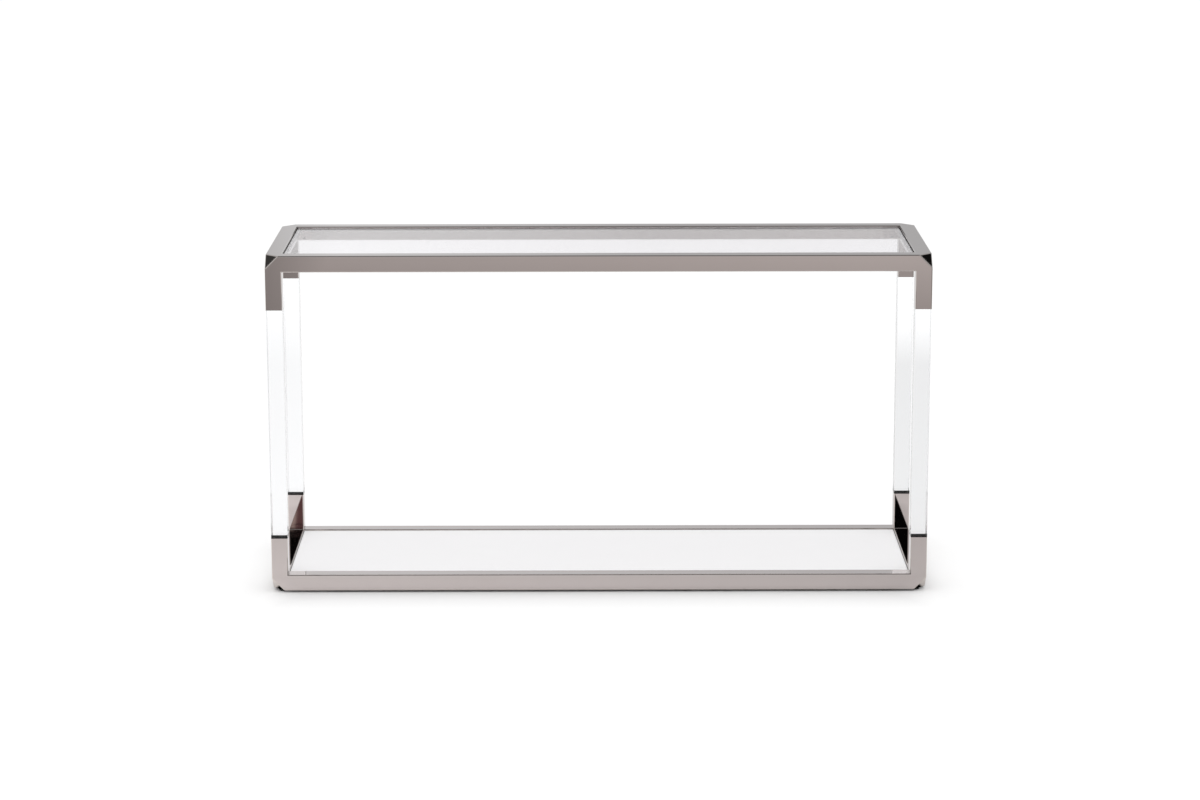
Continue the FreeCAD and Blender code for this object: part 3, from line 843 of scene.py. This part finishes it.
# Clear silicone: cloudy inside and dusty on its face, so each pad shows as a pale soft square.
silicone, tree, place = new_material("clear_silicone")
cloud = add(tree, "TexNoise", {"Vector": place, "Scale": 1 / (4 * MM), "Detail": 3.0})
dust = add(tree, "TexNoise", {"Vector": place, "Scale": 1 / (0.3 * MM), "Detail": 2.0})
tint = add(tree, "Mix", {0: cloud, 6: linear("eceeef"), 7: linear("f6f7f7")}, data_type="RGBA").outputs[2]
roughness = add(tree, "MapRange", {"Value": dust, "From Min": 0.4, "From Max": 0.7,
                                   "To Min": 0.22, "To Max": 0.40})
relief = add(tree, "Bump", {"Height": dust, "Strength": 0.2, "Distance": 0.02 * MM})
gel = add(tree, "BsdfPrincipled", {"Base Color": tint, "Roughness": roughness, "IOR": 1.41,
                                   "Transmission Weight": 0.85, "Normal": relief})
let_light_through(tree, gel, 0.9)


def round_blocks(bm, corner_radius, edge_radius, edge_segments):
    """Round the upright corners of the blocks in a mesh, and then the edges round their faces."""
    bm.normal_update()
    soften(bm, [e for e in convex_edges(bm) if upright(e)], corner_radius, segments=4)
    bm.normal_update()
    soften(bm, [e for e in convex_edges(bm) if not upright(e)], edge_radius, edge_segments)
    bmesh.ops.recalc_face_normals(bm, faces=bm.faces[:])


inner = Vector((frame_high.x - TUBE, frame_high.y - TUBE, 0))
for name, level_name in (("glass_pads", "top"), ("shelf_pads", "bottom")):
    low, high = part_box(name)
    bm = bmesh.new()
    for side_name, count in PADS_ALONG.items():
        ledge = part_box(f"{level_name}_{side_name}_ledge")
        middle = (ledge[0] + ledge[1]) / 2
        for index in range(count):
            along = 2 * (index + 0.5) / count - 1
            on_long_ledge = side_name in ("front", "back")
            x, y = (inner.x * along, middle.y) if on_long_ledge else (middle.x, inner.y * along)
            block(bm, (x - PAD / 2, y - PAD / 2, low.z), (x + PAD / 2, y + PAD / 2, high.z - CONTACT_GAP))
    round_blocks(bm, PAD_CORNER, PAD_EDGE, edge_segments=2)
    shown(f"{name}_silicone", finished(bm, name, silicone), "clear_silicone", name)


# ---------------------------------------------------------------------------------------------------
# Glass top
# A loose pane of clear toughened float glass, laid on the pads a little below the top of the frame.
# Its edges are ground round and polished and its corners are dubbed.

PANE_EDGE = 0.8 * MM
PANE_CORNER = 2.0 * MM


def edge_share(tree):
    """A factor that is 0 on the level faces of a pane and 1 on its edges."""
    facing = add(tree, "SeparateXYZ", {"Vector": add(tree, "NewGeometry").outputs["Normal"]})
    level_face = add(tree, "Math", {0: facing.outputs["Z"]}, operation="ABSOLUTE")
    return add(tree, "MapRange", {"Value": level_face, "From Min": 0.9, "From Max": 0.3})


# Clear float glass: without colour in the sheet, with smears from wiping that only just dull what it
# mirrors, and a touch of green in the depth of its edges.
clear_glass, tree, place = new_material("clear_float_glass")
on_edge = edge_share(tree)
body = add(tree, "TexNoise", {"Vector": place, "Scale": 1 / (200 * MM), "Detail": 1.0})
tint = add(tree, "Mix", {0: body, 6: linear("fdfbfd"), 7: linear("fcf9fc")}, data_type="RGBA").outputs[2]
tint = add(tree, "Mix", {0: on_edge, 6: tint, 7: linear("e9f3ef")}, data_type="RGBA").outputs[2]
smears = add(tree, "TexNoise", {"Vector": place, "Scale": 1 / (35 * MM), "Detail": 5.0, "Roughness": 0.7})
roughness = add(tree, "MapRange", {"Value": smears, "From Min": 0.55, "From Max": 0.80,
                                   "To Min": 0.0, "To Max": 0.02})
pane = add(tree, "BsdfPrincipled", {"Base Color": tint, "Roughness": roughness, "IOR": 1.52,
                                    "Transmission Weight": 1.0})
let_light_through(tree, pane, 0.985)

bm = bmesh.new()
block(bm, *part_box("glass_top"))
round_blocks(bm, PANE_CORNER, PANE_EDGE, edge_segments=3)
shown("glass_top_pane", finished(bm, "glass_top_pane", clear_glass), "clear_glass", "glass_top")


# ---------------------------------------------------------------------------------------------------
# Lower shelf
# A loose pane of thicker glass, painted white on its underside and satin etched on its face, so that it
# shows no sharp reflections. Its edges are ground.

SHELF_EDGE = 0.9 * MM
SHELF_CORNER = 2.0 * MM

# Satin-etched glass over white paint: plain white with a soft broad sheen, and slightly green edges. The
# etching is finer than shows, so its grain is drawn a quarter of a millimetre coarse.
white_glass, tree, place = new_material("satin_white_glass")
on_edge = edge_share(tree)
etch = add(tree, "TexNoise", {"Vector": place, "Scale": 1 / (0.25 * MM), "Detail": 2.0})
cloud = add(tree, "TexNoise", {"Vector": place, "Scale": 1 / (120 * MM), "Detail": 3.0})
tint = add(tree, "Mix", {0: cloud, 6: linear("f8f7f8"), 7: linear("f5f4f5")}, data_type="RGBA").outputs[2]
tint = add(tree, "Mix", {0: on_edge, 6: tint, 7: linear("e6ede9")}, data_type="RGBA").outputs[2]
roughness = add(tree, "MapRange", {"Value": cloud, "From Min": 0.35, "From Max": 0.70,
                                   "To Min": 0.42, "To Max": 0.50})
roughness = add(tree, "Mix", {"Factor": on_edge, "A": roughness, "B": 0.25})
relief = add(tree, "Bump", {"Height": etch, "Strength": 0.1, "Distance": 0.01 * MM})
pane = add(tree, "BsdfPrincipled", {"Base Color": tint, "Roughness": roughness, "IOR": 1.52,
                                    "Normal": relief})
add(tree, "OutputMaterial", {"Surface": pane})

bm = bmesh.new()
block(bm, *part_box("lower_shelf"))
round_blocks(bm, SHELF_CORNER, SHELF_EDGE, edge_segments=3)
shown("lower_shelf_pane", finished(bm, "lower_shelf_pane", white_glass), "white_glass", "lower_shelf")

low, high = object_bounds()
